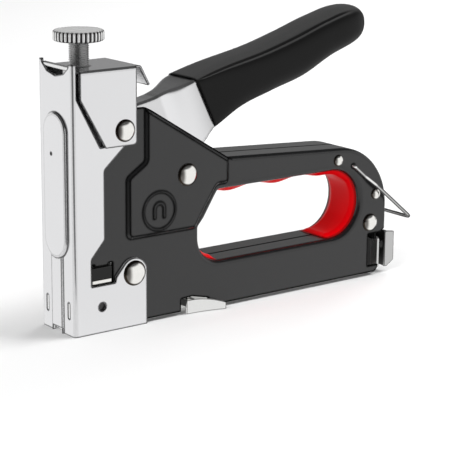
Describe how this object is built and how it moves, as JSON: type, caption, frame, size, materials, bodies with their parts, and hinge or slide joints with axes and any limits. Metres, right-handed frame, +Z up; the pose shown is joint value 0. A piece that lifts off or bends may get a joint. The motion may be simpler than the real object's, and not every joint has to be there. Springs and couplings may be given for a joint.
{
  "type": "staple gun",
  "caption": "Hand staple gun: squeeze handle lifts a sprung hammer and blade in a bright nose; knob sets force, rear catch and sliding loader, wire handle lock.",
  "frame": {"origin": "middle of the tool's length and width, on the plane of the nose's lower edge that is pressed on the work", "axes": "+X from the nose to the rear of the tool, +Y across it to the side with no channel catch, +Z up along the nose from the lower edge to the tension knob"},
  "size_m": [0.1804, 0.0302, 0.1215],
  "materials": {
    "nose_chrome": "mirror bright chrome plate",
    "guide_steel": "plain rolled steel",
    "bracket_steel": "bright chrome plate",
    "screw_steel": "zinc plated, dull",
    "knob_nickel": "nickel plate, knurled rim",
    "spring_steel": "drawn wire",
    "tool_steel": "hardened, dark",
    "bridge_black": "black oxide",
    "bumper_rubber": "matte",
    "housing_paint": "semi-gloss black powder coat",
    "rivet_nickel": "nickel plate, satin",
    "lever_chrome": "bright chrome plate",
    "grip_rubber": "matte moulded",
    "insert_red": "satin moulded",
    "wire_nickel": "nickel plated wire",
    "channel_steel": "zinc plated",
    "clip_nickel": "nickel plate",
    "leaf_steel": "nickel plated spring steel"
  },
  "bodies": {
    "frame": {"nose_plate": "nose_chrome", "guide_plate": "guide_steel", "top_bracket": "bracket_steel", "adjuster_nut": "guide_steel", "stop_bridge": "bridge_black", "stop_key": "rivet_nickel", "bumper_pad": "bumper_rubber", "housing_left": "housing_paint", "housing_right": "housing_paint", "pivot_pin": "rivet_nickel", "bracket_rivet": "rivet_nickel", "nose_rivet": "rivet_nickel", "rear_rivet": "rivet_nickel", "body_rivets": "rivet_nickel", "rivet_spacers": "guide_steel", "handle_spring": "spring_steel", "grip_insert": "insert_red", "staple_channel": "channel_steel", "channel_catch_pin": "rivet_nickel"},
    "cup": {"spring_cup": "guide_steel", "main_spring": "spring_steel"},
    "screw": {"adjusting_screw": "screw_steel", "tension_knob": "knob_nickel"},
    "striker": {"hammer": "tool_steel", "driver_blade": "tool_steel"},
    "handle": {"handle_lever": "lever_chrome", "lifting_arm": "tool_steel", "handle_grip": "grip_rubber"},
    "loader": {"loader_end": "channel_steel", "loader_rod": "spring_steel", "catch_pin": "rivet_nickel", "pusher_spring": "spring_steel"},
    "rear_catch": {"loader_catch": "clip_nickel"},
    "follower": {"pusher": "channel_steel"},
    "channel_catch": {"channel_catch": "leaf_steel"},
    "lock": {"lock_wire": "wire_nickel"}
  },
  "joints": [
    {"name": "handle_pivot", "type": "hinge", "parent": "frame", "child": "handle", "pos_m": [-0.03438, 0, 0.0596], "axis": [0, 1, 0], "range_deg": [0, 24], "stiffness_Nm_per_rad": 6, "springref_deg": -14.32, "deforming": ["handle_spring"]},
    {"name": "hammer_lift", "type": "slide", "parent": "frame", "child": "striker", "axis": [0, 0, 1], "range_m": [0, 0.0174], "deforming": ["main_spring"]},
    {"name": "screw_turn", "type": "hinge", "parent": "cup", "child": "screw", "pos_m": [-0.07788, 0, 0.117], "axis": [0, 0, 1], "range_deg": [-2304, 0]},
    {"name": "cup_slide", "type": "slide", "parent": "frame", "child": "cup", "axis": [0, 0, 1], "range_m": [-0.008, 0]},
    {"name": "loader_slide", "type": "slide", "parent": "frame", "child": "loader", "axis": [1, 0, 0], "range_m": [0, 0.095]},
    {"name": "pusher_slide", "type": "slide", "parent": "loader", "child": "follower", "axis": [1, 0, 0], "range_m": [0, 0.095], "stiffness_N_per_m": 20, "springref_m": -0.06, "deforming": ["pusher_spring"]},
    {"name": "rear_catch_turn", "type": "hinge", "parent": "loader", "child": "rear_catch", "pos_m": [0.07632, 0, 0.013], "axis": [0, 1, 0], "range_deg": [-8, 0], "stiffness_Nm_per_rad": 0.2, "springref_deg": 8.59},
    {"name": "channel_catch_turn", "type": "hinge", "parent": "frame", "child": "channel_catch", "pos_m": [-0.03158, -0.0088, 0.0045], "axis": [0, 0, 1], "range_deg": [0, 6], "stiffness_Nm_per_rad": 0.1, "springref_deg": -5.73},
    {"name": "lock_wire_turn", "type": "hinge", "parent": "frame", "child": "lock", "pos_m": [0.05652, 0, 0.0518], "axis": [0, -1, 0], "range_deg": [0, 150]}
  ],
  "couplings": [
    {"joint": "hammer_lift", "follows": "handle_pivot", "m_per_rad": 0.0412},
    {"joint": "screw_turn", "follows": "cup_slide", "rad_per_m": 5026.5}
  ]
}
